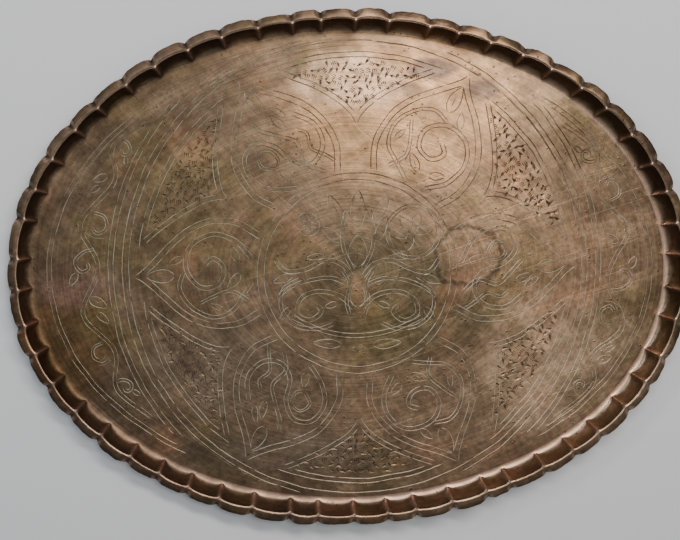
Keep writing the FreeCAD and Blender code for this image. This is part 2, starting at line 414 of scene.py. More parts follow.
class Pen:
    """Draws motifs in an ornament's own plane, which a placing function maps onto the tray."""

    def __init__(self, graver, place):
        self.graver = graver
        self.place = place

    def ribbon(self, *points, gap=3.6):
        """A stem drawn with two lines."""
        self.graver.double(self.place(through(points)), gap)

    def leaf(self, base, tip, width, vein=False):
        """A pointed leaf, some with a short vein."""
        base, tip = np.array(base, float), np.array(tip, float)
        ahead = tip - base
        aside = np.array([-ahead[1], ahead[0]]) / np.linalg.norm(ahead) * width
        for side in (1, -1):
            edge = bezier(base, base + ahead * 0.15 + aside * side, base + ahead * 0.6 + aside * side, tip)
            self.graver.cut(self.place(edge), reach=UNBROKEN, spacing=1.5)
        if vein:
            middle = np.array([base + ahead * 0.2, base + ahead * 0.62])
            self.graver.cut(self.place(middle), width=0.7, depth=0.2)

    def lozenge(self, centre, length, width):
        """A small diamond."""
        x, y = centre
        corners = [(x - length / 2, y), (x, y + width / 2), (x + length / 2, y), (x, y - width / 2)]
        for a, b in zip(corners, corners[1:] + corners[:1]):
            self.graver.cut(self.place(np.array([a, b])), width=0.8, reach=UNBROKEN, spacing=1.5)

    def ring(self, centre, radius):
        self.graver.cut(self.place(arc(centre, radius, 0, 360)))

    def rosette(self, centre, radius):
        """A ring holding a six-leaved flower."""
        self.ring(centre, radius)
        for index in range(6):
            angle = math.radians(60 * index + 12)
            base, tip = polar(centre, radius * 0.16, angle), polar(centre, radius * 0.82, angle)
            self.leaf(base, tip, radius * 0.26)


def border(graver):
    """Double circle round the ornament, with the scribed guide lines beside it."""
    centre = (ORNAMENT_X, 0.0)
    for radius in BORDER_RADII:
        graver.cut(arc(centre, radius, 0, 360), reach=(20.0, 46.0))
    for _ in range(16):
        radius = graver.draw.choice((196.5, 199.0, 204.8, 210.5, 213.0, 224.0)) + graver.draw.gauss(0, 0.8)
        start = graver.draw.uniform(0, 360)
        sweep = graver.draw.uniform(14, 50)
        graver.cut(arc((ORNAMENT_X + graver.draw.gauss(0, 1.5), 0), radius, start, start + sweep),
                   width=0.5, depth=0.1, reach=(60.0, 120.0), spacing=5.0)


def petal_frame(degrees):
    """Axis of a petal: its direction from the medallion's centre and the distance of its tip."""
    tip = np.array(polar((ORNAMENT_X, 0.0), BORDER_RADII[0] - 1.5, math.radians(degrees)))
    axis = tip - np.array([ORNAMENT_X, MEDALLION_Y])
    return math.degrees(math.atan2(axis[1], axis[0])), float(np.hypot(*axis))


def petal_side(reach, shoulder, spike):
    """One side of a petal from its tip to the medallion, as (along, across)."""
    tip = bezier((reach, 0), (reach - 22, spike), (reach - 38, shoulder - 1), (reach - 78, shoulder))
    base = bezier((reach - 78, shoulder), (reach - 98, shoulder + 0.5),
                  (100, shoulder * 0.9), (83, shoulder * 0.7))
    return np.vstack([tip, base[1:]])


def petals(graver):
    """Six double-lined ogee petals round the medallion."""
    for index, degrees in enumerate((1.5, 60.5, 122.0, 181.5, 239.5, 298.0)):
        direction, reach = petal_frame(degrees)
        for side in (1, -1):
            shoulder = 49.0 + graver.draw.gauss(0.0, 1.2)
            outline = petal_side(reach, shoulder, 2.0 + graver.draw.uniform(0.0, 6.0))
            outline[:, 1] *= side
            inner = beside(outline, 5.0 * side)
            for curve in (outline, inner):
                clear = np.hypot(curve[:, 0], curve[:, 1]) > MEDALLION_RADII[0] + 1.0
                keep = (curve[:, 1] * side > 0.3) & clear
                graver.cut(turned(curve[keep], direction, (ORNAMENT_X, MEDALLION_Y)))
        petal_filling(graver, direction, reach, 1 if index % 2 else -1)


def petal_filling(graver, direction, reach, hand):
    """Interlaced stems with leaves and a few lozenges, in two patterns by turns."""
    scale = (reach - 83.0) / 118.0

    def place(points):
        p = np.array(points, float)
        p[:, 0] = 83.0 + (p[:, 0] - 83.0) * scale
        p[:, 1] *= hand
        return turned(p, direction, (ORNAMENT_X, MEDALLION_Y))

    pen = Pen(graver, place)
    pen.leaf((162, 0), (188, 0), 7.5, vein=True)
    if hand > 0:
        pen.ribbon((94, -14), (108, -30), (128, -36), (147, -27), (152, -6), (140, 10), (124, 8),
                   (119, -6), (128, -15), (137, -8))
        pen.ribbon((93, 4), (102, 18), (112, 32), (130, 37), (148, 28), (158, 12), (154, -4), gap=3.0)
        pen.ribbon((96, 24), (112, 14), (130, 20), (142, 26), gap=2.6)
        pen.leaf((104, -2), (116, 12), 5.0, vein=True)
        pen.leaf((106, -12), (112, -26), 4.5)
        pen.leaf((154, -16), (168, -10), 4.0)
        pen.leaf((120, 30), (132, 26), 3.0)
        pen.lozenge((97, -33), 9.0, 5.0)
        pen.lozenge((146, 16), 7.0, 4.0)
    else:
        pen.ribbon((92, -4), (102, -24), (118, -36), (137, -33), (143, -18), (132, -4), (114, 2), (104, 16),
                   (112, 32), (131, 36), (150, 24))
        pen.ribbon((92, 22), (108, 10), (126, 14), (138, 4), (150, -8), (160, -12), gap=3.0)
        pen.ribbon((116, -14), (124, -24), (134, -20), (132, -10), (121, -8), (116, -14), gap=2.2)
        pen.ribbon((94, 36), (104, 30), (116, 22), (128, 26), (136, 20), gap=2.4)
        pen.leaf((142, 12), (158, 6), 4.5, vein=True)
        pen.leaf((100, -6), (114, -12), 4.5)
        pen.leaf((150, 18), (164, 8), 3.6)
        pen.lozenge((97, -34), 8.0, 4.5)
        pen.lozenge((150, -22), 8.0, 4.0)


def spandrel_side(scale):
    """One side of a panel between two petals, from its inner point to its corner."""
    return bezier((133.5, 0), (150, 4), (165, 25), (183, 79)) * scale


def spandrels(graver):
    """Six curved triangles between the petals, double-lined and filled with chisel blows."""
    for index in range(6):
        degrees = 31.0 + 60.0 * index
        direction, reach = petal_frame(degrees)
        scale = reach / 208.0 + graver.draw.gauss(0.0, 0.004)
        sides = []
        for side in (1, -1):
            curve = spandrel_side(scale)
            curve[:, 1] *= side
            inner = beside(curve, -4.2 * side)
            for points in (curve, inner):
                keep = (points[:, 1] * side > 0.4) & (np.hypot(points[:, 0], points[:, 1]) < 198.0 * scale)
                graver.cut(turned(points[keep], direction, (ORNAMENT_X, MEDALLION_Y)))
            sides.append(inner)
        corner = math.degrees(math.atan2(79, 183))
        for radius, shrink in ((199.5, 0.0), (195.0, 4.5)):
            outer = arc((0, 0), radius * scale, -corner + shrink, corner - shrink)
            graver.cut(turned(outer, direction, (ORNAMENT_X, MEDALLION_Y)))
        chisel_filling(graver, direction, scale, index)


def chisel_filling(graver, direction, scale, index):
    """Rows of chisel blows inside a panel, in singles, pairs and hatched threes."""
    side = spandrel_side(1.0)
    pitch = 5.7
    rows = int(60 / pitch)
    for row in range(rows + 1):
        radius = 143.0 + row * pitch
        limit = np.interp(radius, side[:, 0], side[:, 1]) if radius < 183 else 79.0
        limit = min(limit, math.sqrt(max(0.0, 196.0 ** 2 - radius ** 2)) * 1.6) - 7.0
        count = int(2 * limit / pitch)
        for column in range(count + 1):
            across = -limit + 2 * limit * (column + 0.5 * (row % 2)) / max(count, 1)
            along = radius + graver.draw.gauss(0, 0.9)
            across += graver.draw.gauss(0, 0.9)
            if abs(across) > limit + 1 or math.hypot(along, across) > 191.0 or count < 1:
                continue
            centre = turned([(along * scale, across * scale)], direction, (ORNAMENT_X, MEDALLION_Y))[0]
            chisel_mark(graver, centre, index)


def chisel_mark(graver, centre, index):
    """One blow or a small group of parallel blows."""
    draw = graver.draw
    angle = draw.choice((45.0, 50.0, -45.0, 90.0, 10.0)) + draw.gauss(0, 9) + 20.0 * index
    kind = draw.random()
    if kind < 0.42:
        graver.chop(centre, angle, draw.uniform(4.2, 6.0), draw.uniform(2.3, 3.2), PIT_DEPTH)
    elif kind < 0.78:
        for step in (-1, 0, 1):
            offset = turned([(0.0, 1.6 * step)], angle, centre)[0]
            graver.chop(offset, angle, draw.uniform(4.0, 5.6), 1.1, 0.45)
    else:
        graver.chop(centre, angle, draw.uniform(2.8, 3.6), 2.6, PIT_DEPTH)


def medallion(graver):
    """Double ring with a symmetrical arabesque of the maker's own and two rosettes."""
    centre = np.array([ORNAMENT_X, MEDALLION_Y])
    for radius in MEDALLION_RADII:
        graver.cut(arc(centre, radius, 0, 360), reach=(22.0, 44.0))
    for hand in (1, -1):
        def place(points, hand=hand):
            return centre + np.array(points, float) * (hand, 1)

        medallion_half(Pen(graver, place), hand)
    pen = Pen(graver, lambda points: centre + np.array(points, float))
    pen.leaf((0, 6), (0, 36), 11.0, vein=True)
    pen.leaf((0, 42), (0, 74), 8.5, vein=True)
    pen.leaf((0, -30), (0, -6), 9.0, vein=True)
    pen.ribbon((-60, -38), (-32, -51), (0, -56), (32, -51), (60, -38))
    pen.lozenge((0, -68), 12.0, 6.0)


def medallion_half(pen, hand):
    """Right or left half of the arabesque."""
    pen.ribbon((2, -32), (16, -20), (34, -16), (50, -22), (54, -36), (42, -42), (32, -34), (37, -27))
    pen.ribbon((3, -4), (14, 8), (30, 12), (46, 4), (64, 2), (74, 14))
    pen.ribbon((3, 2), (12, 20), (14, 40), (10, 58), gap=3.0)
    pen.ribbon((8, -10), (24, -4), (42, -6), (60, -12), (72, -22), gap=3.0)
    pen.ribbon((20, -44), (36, -50), (56, -46), (68, -32), (66, -14), (50, -4), gap=3.0)
    pen.ribbon((6, -38), (10, -24), (8, -8), (14, 4), gap=2.4)
    pen.leaf((30, 16), (46, 14), 3.6)
    pen.leaf((18, -26), (30, -30), 3.4)
    pen.leaf((14, 46), (27, 70), 6.5, vein=True)
    pen.leaf((15, 28), (33, 42) if hand < 0 else (27, 52), 5.5, vein=True)
    pen.leaf((58, -2), (76, -8), 4.5)
    pen.leaf((14, -64), (40, -62), 5.5, vein=True)
    pen.leaf((60, -30), (70, -42), 4.0)
    pen.lozenge((22, -8), 7.0, 4.0)
    pen.lozenge((50, -56), 8.0, 4.5)
    if hand > 0:
        pen.rosette((49.0, 37.0), 21.5)
        pen.ring((49.0, 37.0), 24.5)
    else:
        pen.rosette((44.0, 44.0), 10.5)
        pen.lozenge((62, 24), 9.0, 5.0)
        pen.lozenge((32, 62), 8.0, 4.5)


def crescents(graver, line):
    """Sparse vines in the two spaces between the round border and the oval rim."""
    centre = (ORNAMENT_X, 0.0)
    for middle in (0.0, 180.0):
        for radius, sweep in ((215.5, 44.0), (220.0, 42.0)):
            graver.cut(arc(centre, radius, middle - sweep, middle + sweep), reach=(16.0, 40.0))
    for inset in (-21.5, -25.5):
        share = np.linspace(0.0, 1.0, 400)
        foot, outward = line.at(share)
        path = foot + outward * inset
        far = np.hypot(path[:, 0] - centre[0], path[:, 1]) > 224.0
        runs = np.split(np.arange(400), np.flatnonzero(np.diff(far.astype(int))) + 1)
        for run in runs:
            if far[run[0]] and len(run) > 6:
                graver.cut(path[run], width=0.8, depth=0.22, reach=(14.0, 40.0))
    for middle in (0.0, 180.0):
        crescent_vine(graver, centre, middle)


def crescent_vine(graver, centre, middle):
    """A wandering stem along a crescent, with a curl and a leaf by turns at each bend."""
    draw = graver.draw
    steps = [-36, -27, -19, -10, -1, 8, 18, 27, 36]
    stem = []
    for index, step in enumerate(steps):
        room = 12.0 * (1 - (step / 46.0) ** 2)
        side = 1 if index % 2 else -1
        stem.append(polar(centre, 237.0 - 0.006 * step ** 2 + side * room * draw.uniform(0.7, 1.0),
                          math.radians(middle + step + draw.gauss(0, 0.8))))
    stem = through(stem)
    for start, end in ((0, 22), (19, 44), (41, len(stem))):
        gap = 3.2 + draw.uniform(-0.5, 0.5)
        graver.double(stem[start:end], gap, width=0.8, depth=0.26, reach=(8.0, 26.0))
    for index, step in enumerate(steps[1:-1]):
        side = -1 if index % 2 else 1
        size = (1.15 - 0.012 * abs(step)) * draw.uniform(0.85, 1.1)
        radius = 237.0 - 0.006 * step ** 2

        def place(points, side=side, size=size, radius=radius, degrees=middle + step):
            p = np.array(points, float) * size
            p[:, 0] = radius - side * (p[:, 0] + 1.0)
            return turned(p, degrees, centre)

        pen = Pen(graver, place)
        if index % 3 == 0:
            pen.ribbon((-6, -12), (3, -10), (9, -3), (5, 4), (-1, 2), (1, -3), gap=2.4)
            pen.leaf((7, 5), (12, 15), 3.4)
        elif index % 3 == 1:
            pen.leaf((-2, -8), (11, 2), 5.0, vein=True)
            pen.leaf((2, 4), (10, 14), 3.2)
            pen.lozenge((9, -9), 7.0, 3.6)
        else:
            pen.ribbon((-3, -10), (8, -8), (11, 2), (4, 8), (-2, 3), gap=2.2)
            pen.lozenge((4, -2), 6.0, 3.2)
            graver.cut(place([(-8, 8), (2, 12), (12, 11)]), width=0.7)


# ---------------------------------------------------------------- the floor's mesh

def unevenness(x, y):
    """Gentle waves left by planishing, never below zero."""
    large = noise.noise(Vector((x / 95, y / 95, 2.0)))
    small = noise.noise(Vector((x / 34, y / 34, 7.0)))
    facets = noise.noise(Vector((x / 12, y / 12, 11.0)))
    return 0.28 + 0.2 * large + 0.07 * small + 0.018 * facets


def sheet_height(distance, points):
    """Height of the floor's upper side at points a distance outside the crimp line."""
    fade = np.clip((FLOOR_EDGE - distance) / 22.0, 0.0, 1.0)
    waves = np.array([unevenness(x, y) for x, y in points])
    return SHEET + waves * fade * fade * (3 - 2 * fade)


ROW_PITCH = 0.87
EDGE_RING_INSET = 2.4
EDGE_RING_POINTS = 560


def filler_points(line, spacing, taken):
    """Jittered grid over the floor and a ring near its edge, keeping clear of the given points."""
    draw = random.Random(31)
    points = []
    for row in range(int(2 * HALF_WIDTH / (spacing * ROW_PITCH)) + 1):
        for column in range(int(2 * HALF_LENGTH / spacing) + 1):
            x = -HALF_LENGTH + spacing * (column + 0.5 * (row % 2)) + draw.gauss(0, spacing * 0.08)
            y = -HALF_WIDTH + spacing * ROW_PITCH * row + draw.gauss(0, spacing * 0.08)
            points.append((x, y))
    points = np.array(points)
    ring = FLOOR_EDGE - EDGE_RING_INSET
    points = points[line.outward_distance(points) < ring - 0.6 * spacing]
    foot, outward = line.at(np.arange(EDGE_RING_POINTS) / EDGE_RING_POINTS)
    points = np.vstack([points, foot + outward * ring])
    if taken is None:
        return points
    return np.array([p for p in points if taken.find((p[0], p[1], 0.0))[2] > 1.1])


def cove_polish_and_highlight(distance, x, y):
    """How far the foot of the cove is polished and painted pale as a highlight, most at the right and near
    side.
    """
    near_side = np.clip(0.5 + 1.2 * x / HALF_LENGTH - 0.9 * y / HALF_WIDTH, 0.0, 1.0)
    return 0.6 * near_side * np.exp(-((distance - COVE_FOOT - 3.0) / 3.0) ** 2)


def stroke_mesh(graver):
    """Points and edges of every stroke: a line on each side and one along the bottom."""
    points, edges = [], []
    for centre, half, _, _ in graver.strokes:
        left = sideways(centre)
        previous = None
        for index in range(len(centre)):
            first = len(points)
            if half[index] < 0.02:
                points.append(centre[index])
                now = [first] * 3
            else:
                points += [centre[index] + left[index] * half[index] * side for side in (1, 0, -1)]
                now = [first, first + 1, first + 2]
            if previous:
                edges += zip(previous, now)
            previous = now
    return np.array(points), edges


def stroke_depth(graver, points):
    """Depth of the deepest line and of the deepest pit at each point, as two columns."""
    spans = []
    for centre, half, depth, kind in graver.strokes:
        for index in range(len(centre) - 1):
            spans.append((centre[index], centre[index + 1], half[index], half[index + 1],
                          depth[index], depth[index + 1], kind))
    tree = KDTree(len(spans))
    for index, (a, b, *_) in enumerate(spans):
        tree.insert(((a[0] + b[0]) / 2, (a[1] + b[1]) / 2, 0.0), index)
    tree.balance()
    result = np.zeros((len(points), 2))
    for number, point in enumerate(points):
        for _, index, _ in tree.find_range((point[0], point[1], 0.0), 3.4):
            a, b, half_a, half_b, depth_a, depth_b, kind = spans[index]
            ahead = b - a
            t = min(1.0, max(0.0, float((point - a) @ ahead) / max(float(ahead @ ahead), 1e-9)))
            half = half_a + (half_b - half_a) * t
            if half < 1e-3:
                continue
            away = math.hypot(*(point - a - ahead * t)) / half
            if away < 0.98:
                here = (depth_a + (depth_b - depth_a) * t) * (1 - away)
                result[number, kind] = max(result[number, kind], here)
    return result


def triangulate(boundary, extra, edges):
    """Constrained triangles inside a closed boundary; the boundary's points keep their numbers."""
    count = len(boundary)
    loop = [(index, (index + 1) % count) for index in range(count)]
    shifted = [(a + count, b + count) for a, b in edges if a != b]
    flat = [Vector(p) for p in np.vstack([boundary, extra])]
    points, _, faces, origins, _, _ = delaunay_2d_cdt(flat, loop + shifted, [], 1, 1e-4)
    number = {}
    fresh = []
    for index, sources in enumerate(origins):
        rim = [source for source in sources if source < count]
        if rim:
            number[index] = rim[0]
        else:
            number[index] = count + len(fresh)
            fresh.append(points[index][:])
    triangles = [tuple(number[corner] for corner in face) for face in faces]
    return np.array(fresh), triangles


def band_faces(lower, upper, flip=False):
    """Quads between two closed rows of vertex numbers."""
    faces = []
    count = len(lower)
    for index in range(count):
        after = (index + 1) % count
        quad = (lower[index], lower[after], upper[after], upper[index])
        faces.append(quad[::-1] if flip else quad)
    return faces


def mark_cut_edges(mesh, cut):
    """Make the lips of the cuts sharp, so that their shading does not spread over the floor."""
    work = bmesh.new()
    work.from_mesh(mesh)
    in_cut = [any(cut[corner.index] for corner in face.verts) for face in work.faces]
    for edge in work.edges:
        beside_edge = {in_cut[face.index] for face in edge.link_faces}
        if len(beside_edge) > 1:
            edge.smooth = False
    work.to_mesh(mesh)
    work.free()


def write_mesh(name, points, faces, layers, sharp):
    """A smooth mesh object in metres with float attributes."""
    mesh = bpy.data.meshes.new(name)
    mesh.from_pydata([tuple(p) for p in np.asarray(points) * MM], [], faces)
    mesh.validate()
    for layer, values in layers.items():
        stored = mesh.attributes.new(layer, "FLOAT", "POINT").data
        stored.foreach_set("value", np.asarray(values, np.float32))
    mesh.shade_smooth()
    mesh.set_sharp_from_angle(angle=math.radians(sharp))
    if "cut" in layers:
        mark_cut_edges(mesh, layers["cut"] + layers["pit"] > 0.01)
    mesh.update()
    piece = bpy.data.objects.new(name, mesh)
    bpy.context.scene.collection.objects.link(piece)
    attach(piece, "root")
    return piece


# rows of the section that the plainer underside does without
ROWS_LEFT_OUT_BELOW = range(1, 20, 2)


def build_pan(line, graver):
    """The whole pan in one closed mesh: engraved floor, rim and underside."""
    upper, under, wear_and_highlight, painted_shade_and_dirt, crook = rim_grid(line, random.Random(7))
    rows, columns = upper.shape[:2]
    under_rows = [row for row in range(rows - 1, -1, -1) if row not in ROWS_LEFT_OUT_BELOW]

    points = [upper[row] for row in range(rows)] + [under[row] for row in under_rows]
    wear_and_highlight_values = [wear_and_highlight[row] for row in range(rows)] + [wear_and_highlight[row] * 0.4 for row in under_rows]
    painted_shade_and_dirt_values = [painted_shade_and_dirt[row] for row in range(rows)] + [painted_shade_and_dirt[row] * 0.6 + 0.3 for row in under_rows]
    faces = []
    for row in range(len(points) - 1):
        lower = list(range(row * columns, (row + 1) * columns))
        above = list(range((row + 1) * columns, (row + 2) * columns))
        faces += band_faces(lower, above, flip=True)
    total = len(points) * columns
    last_under = (len(points) - 1) * columns

    cut_points, cut_edges = stroke_mesh(graver)
    taken = KDTree(len(cut_points))
    for index, p in enumerate(cut_points):
        taken.insert((p[0], p[1], 0.0), index)
    taken.balance()
    filler = filler_points(line, 5.5, taken)
    edge_loop = upper[0][:, :2]
    floor, floor_faces = triangulate(edge_loop, np.vstack([cut_points, filler]), cut_edges)
    distance = line.outward_distance(floor)
    depth = stroke_depth(graver, floor)
    height = sheet_height(distance, floor) - depth.max(axis=1)
    points.append(np.column_stack([floor, height]))
    faces += [tuple(c if c < columns else c - columns + total for c in face) for face in floor_faces]
    after_floor = total + len(floor)

    under_loop = under[0][:, :2]
    base_filler = filler_points(line, 9.0, None)
    base, base_faces = triangulate(under_loop, base_filler, [])
    base_height = sheet_height(line.outward_distance(base), base) - SHEET
    points.append(np.column_stack([base, base_height]))
    faces += [tuple(c + last_under if c < columns else c - columns + after_floor for c in face)[::-1]
              for face in base_faces]

    zeros_rim, zeros_base = np.zeros(total), np.zeros(len(base))
    layers = {
        "cut": np.concatenate([zeros_rim, depth[:, LINE] / LINE_DEPTH, zeros_base]),
        "pit": np.concatenate([zeros_rim, depth[:, PIT] / PIT_DEPTH, zeros_base]),
        "wear_and_highlight": np.concatenate(wear_and_highlight_values + [cove_polish_and_highlight(distance, *floor.T), zeros_base]),
        "painted_shade_and_dirt": np.concatenate(painted_shade_and_dirt_values + [np.zeros(len(floor)), zeros_base + 0.3]),
    }
    everything = np.vstack([p.reshape(-1, 3) for p in points])
    piece = write_mesh("tray_pan_sheet", everything, faces, layers, 24.0)
    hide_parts("tray_pan")
    return piece, crook


def build_wire(crook):
    """The stiffening wire in the fold, following the hand-made flutes, as a closed loop."""
    sides, count = 8, len(crook)
    ahead = np.roll(crook, -1, 0) - np.roll(crook, 1, 0)
    ahead /= np.linalg.norm(ahead, axis=1)[:, None]
    outward = np.column_stack([ahead[:, 1], -ahead[:, 0], np.zeros(count)])
    points, faces = [], []
    for side in range(sides):
        angle = 2 * math.pi * side / sides
        around = outward * math.cos(angle) + np.array([0, 0, 1.0]) * math.sin(angle)
        points.append(crook + WIRE_RADIUS * around)
        now, after = (range(number * count, (number + 1) * count) for number in (side, (side + 1) % sides))
        faces += band_faces(now, after)
    piece = write_mesh("rim_wire_drawn", np.vstack(points), faces, {}, 60.0)
    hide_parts("rim_wire")
    return piece


# ---------------------------------------------------------------- materials

class Nodes:
    """Short names for building a node tree."""

    def __init__(self, name):
        self.material = bpy.data.materials.new(name)
        self.material.use_nodes = True
        self.tree = self.material.node_tree
        self.tree.nodes.clear()
        self.output = self.tree.nodes.new("ShaderNodeOutputMaterial")
        self.shader = self.tree.nodes.new("ShaderNodeBsdfPrincipled")
        self.tree.links.new(self.shader.outputs["BSDF"], self.output.inputs["Surface"])

    def put(self, node, inputs):
        """Link or set each named input of a node."""
        for name, value in inputs.items():
            if isinstance(value, bpy.types.NodeSocket):
                self.tree.links.new(value, node.inputs[name])
            else:
                node.inputs[name].default_value = value

    def new(self, kind, inputs, **settings):
        """A node with its settings and its inputs made."""
        node = self.tree.nodes.new(kind)
        for key, value in settings.items():
            setattr(node, key, value)
        self.put(node, inputs)
        return node

    def finish(self, **inputs):
        """Fill in the shader's own inputs."""
        self.put(self.shader, {name.replace("_", " "): value for name, value in inputs.items()})
        return self.material

    def place(self):
        return self.new("ShaderNodeTexCoord", {}).outputs["Object"]

    def attribute(self, name):
        return self.new("ShaderNodeAttribute", {}, attribute_name=name).outputs["Fac"]

    def scaled(self, scale, shift=(0, 0, 0)):
        inputs = {"Vector": self.place(), "Scale": scale, "Location": shift}
        return self.new("ShaderNodeMapping", inputs).outputs["Vector"]

    def noise(self, scale, detail=4.0, rough=0.55, vector=None, distortion=0.0):
        inputs = {"Vector": vector or self.place(), "Scale": scale, "Detail": detail,
                  "Roughness": rough, "Distortion": distortion}
        return self.new("ShaderNodeTexNoise", inputs).outputs["Fac"]

    def streaks(self, scale, stretch, degrees, detail=3.0, rough=0.6):
        """Noise drawn out in one direction across the tray."""
        inputs = {"Vector": self.place(), "Rotation": (0.0, 0.0, math.radians(degrees)),
                  "Scale": (stretch, 1.0, 1.0)}
        node = self.new("ShaderNodeMapping", inputs, vector_type="TEXTURE")
        return self.noise(scale, detail, rough, vector=node.outputs["Vector"])

    def turning(self, scale):
        """Fine rings that follow the oval, as left by scouring round the floor."""
        squashed = self.scaled((1.0, HALF_LENGTH / HALF_WIDTH, 0.0))
        length = self.new("ShaderNodeVectorMath", {0: squashed}, operation="LENGTH")
        lift = self.new("ShaderNodeCombineXYZ", {"Z": length.outputs["Value"]})
        slow = self.scaled((0.02, 0.02, 0.0))
        both = self.new("ShaderNodeVectorMath", {0: slow, 1: lift.outputs[0]}, operation="ADD")
        return self.noise(scale, 3.0, 0.6, vector=both.outputs["Vector"])

    def cells(self, scale):
        inputs = {"Vector": self.place(), "Scale": scale}
        return self.new("ShaderNodeTexVoronoi", inputs).outputs["Distance"]

    def span(self, value, low, high, to_low=0.0, to_high=1.0):
        """Map a range smoothly and clamp it."""
        inputs = {"Value": value, "From Min": low, "From Max": high, "To Min": to_low, "To Max": to_high}
        return self.new("ShaderNodeMapRange", inputs, interpolation_type="SMOOTHSTEP").outputs["Result"]

    def math(self, operation, a, b=0.0):
        return self.new("ShaderNodeMath", {0: a, 1: b}, operation=operation).outputs[0]

    def times(self, a, b):
        return self.math("MULTIPLY", a, b)

    def mix(self, factor, a, b):
        return self.new("ShaderNodeMix", {0: factor, 6: a, 7: b}, data_type="RGBA").outputs[2]

    def tone(self, colour, factor):
        """A colour made darker or lighter by a number."""
        node = self.new("ShaderNodeVectorMath", {0: colour, "Scale": factor}, operation="SCALE")
        return node.outputs["Vector"]

    def blob(self, centre, size, ragged=0.35, scale=14.0):
        """Ragged distance from a place, 1 at the patch's edge and 0 at its centre."""
        flat = self.scaled((1.0 / size[0], 1.0 / size[1], 0.0),
                           shift=(-centre[0] / size[0], -centre[1] / size[1], 0.0))
        away = self.new("ShaderNodeVectorMath", {0: flat, 1: (0.0, 0.0, 0.0)}, operation="DISTANCE")
        rag = self.times(self.math("SUBTRACT", self.noise(scale, 5.0, 0.6), 0.5), ragged * 2)
        return self.math("ADD", away.outputs["Value"], rag)

    def bump(self, height, distance, strength, below=None):
        inputs = {"Height": height, "Distance": distance, "Strength": strength}
        if below:
            inputs["Normal"] = below
        return self.new("ShaderNodeBump", inputs).outputs["Normal"]


# stains of the patina, and two pale patches painted as highlight on the floor: centre and half size in
# metres, raggedness, colour and strength
STAINS_AND_PAINTED_HIGHLIGHTS = (
    # painted highlight: warm pale pool where the key lamp's reflection lies on the floor
    ((0.042, 0.140), (0.120, 0.080), 0.5, (0.49, 0.282, 0.142, 1.0), 0.72),
    ((0.165, 0.020), (0.110, 0.120), 0.7, (0.34, 0.205, 0.112, 1.0), 0.45),
    ((0.025, -0.020), (0.085, 0.072), 0.5, (0.112, 0.081, 0.045, 1.0), 0.92),
    ((-0.150, 0.000), (0.055, 0.060), 0.6, (0.135, 0.092, 0.050, 1.0), 0.60),
    ((-0.190, 0.110), (0.060, 0.040), 0.6, (0.110, 0.075, 0.044, 1.0), 0.65),
    ((-0.250, -0.060), (0.050, 0.065), 0.6, (0.105, 0.060, 0.025, 1.0), 0.80),
    ((0.195, -0.095), (0.110, 0.085), 0.7, (0.52, 0.345, 0.215, 1.0), 0.80),
    # painted highlight: pale patch carrying the floor's highlight further up and to the left
    ((-0.005, 0.168), (0.060, 0.030), 0.6, (0.62, 0.430, 0.290, 1.0), 0.55),
    ((-0.110, -0.092), (0.075, 0.045), 0.6, (0.215, 0.155, 0.105, 1.0), 0.55),
    ((0.225, 0.095), (0.065, 0.075), 0.7, (0.135, 0.090, 0.052, 1.0), 0.80),
    ((0.068, -0.040), (0.072, 0.058), 0.6, (0.115, 0.088, 0.048, 1.0), 0.85),
    ((0.072, 0.178), (0.028, 0.013), 0.9, (0.110, 0.078, 0.064, 1.0), 0.80),
    ((0.112, 0.160), (0.022, 0.013), 0.9, (0.125, 0.088, 0.070, 1.0), 0.70),
    ((0.050, 0.160), (0.012, 0.008), 0.9, (0.130, 0.090, 0.065, 1.0), 0.60),
    ((-0.245, -0.012), (0.040, 0.030), 0.7, (0.260, 0.150, 0.115, 1.0), 0.45),
    ((-0.060, -0.165), (0.120, 0.022), 0.8, (0.160, 0.125, 0.090, 1.0), 0.40),
)


class Patterns:
    """Noises and masks that several parts of the copper's look share."""

    def __init__(self, n):
        separate = n.new("ShaderNodeSeparateXYZ", {0: n.place()})
        self.x = separate.outputs["X"]
        self.clouds = n.noise(7.0, 5.0, 0.6)
        self.mottle = n.noise(42.0, 6.0, 0.66)
        self.fine = n.noise(230.0, 4.0, 0.65)
        self.wipes = n.streaks(46.0, 7.0, 24.0, 5.0, 0.68)
        self.rings = n.turning(420.0)
        drift = n.times(n.math("SUBTRACT", self.clouds, 0.5), 0.25)
        self.rightward = n.span(n.math("ADD", self.x, drift), -0.16, 0.14)
        self.leftward = n.span(self.x, 0.10, -0.14)
        scratched = n.span(n.streaks(300.0, 34.0, 18.0), 0.60, 0.70)
        crossed = n.span(n.streaks(320.0, 30.0, -40.0), 0.62, 0.72)
        self.scratches = n.math("MAXIMUM", scratched, crossed)
        specks = n.span(n.cells(170.0), 0.20, 0.08)
        self.specks = n.times(specks, n.span(n.noise(26.0, 3.0), 0.46, 0.6))
        self.wear_and_highlight = n.attribute("wear_and_highlight")
        self.painted_shade_and_dirt = n.attribute("painted_shade_and_dirt")
        # worn places and places with painted highlights are smooth
        self.relief = n.span(self.wear_and_highlight, 0.0, 0.35, 1.0, 0.08)
        self.filled = n.times(n.span(n.attribute("cut"), 0.10, 0.6),
                              n.span(n.noise(120.0, 3.0), 0.28, 0.6, 0.4, 0.88))


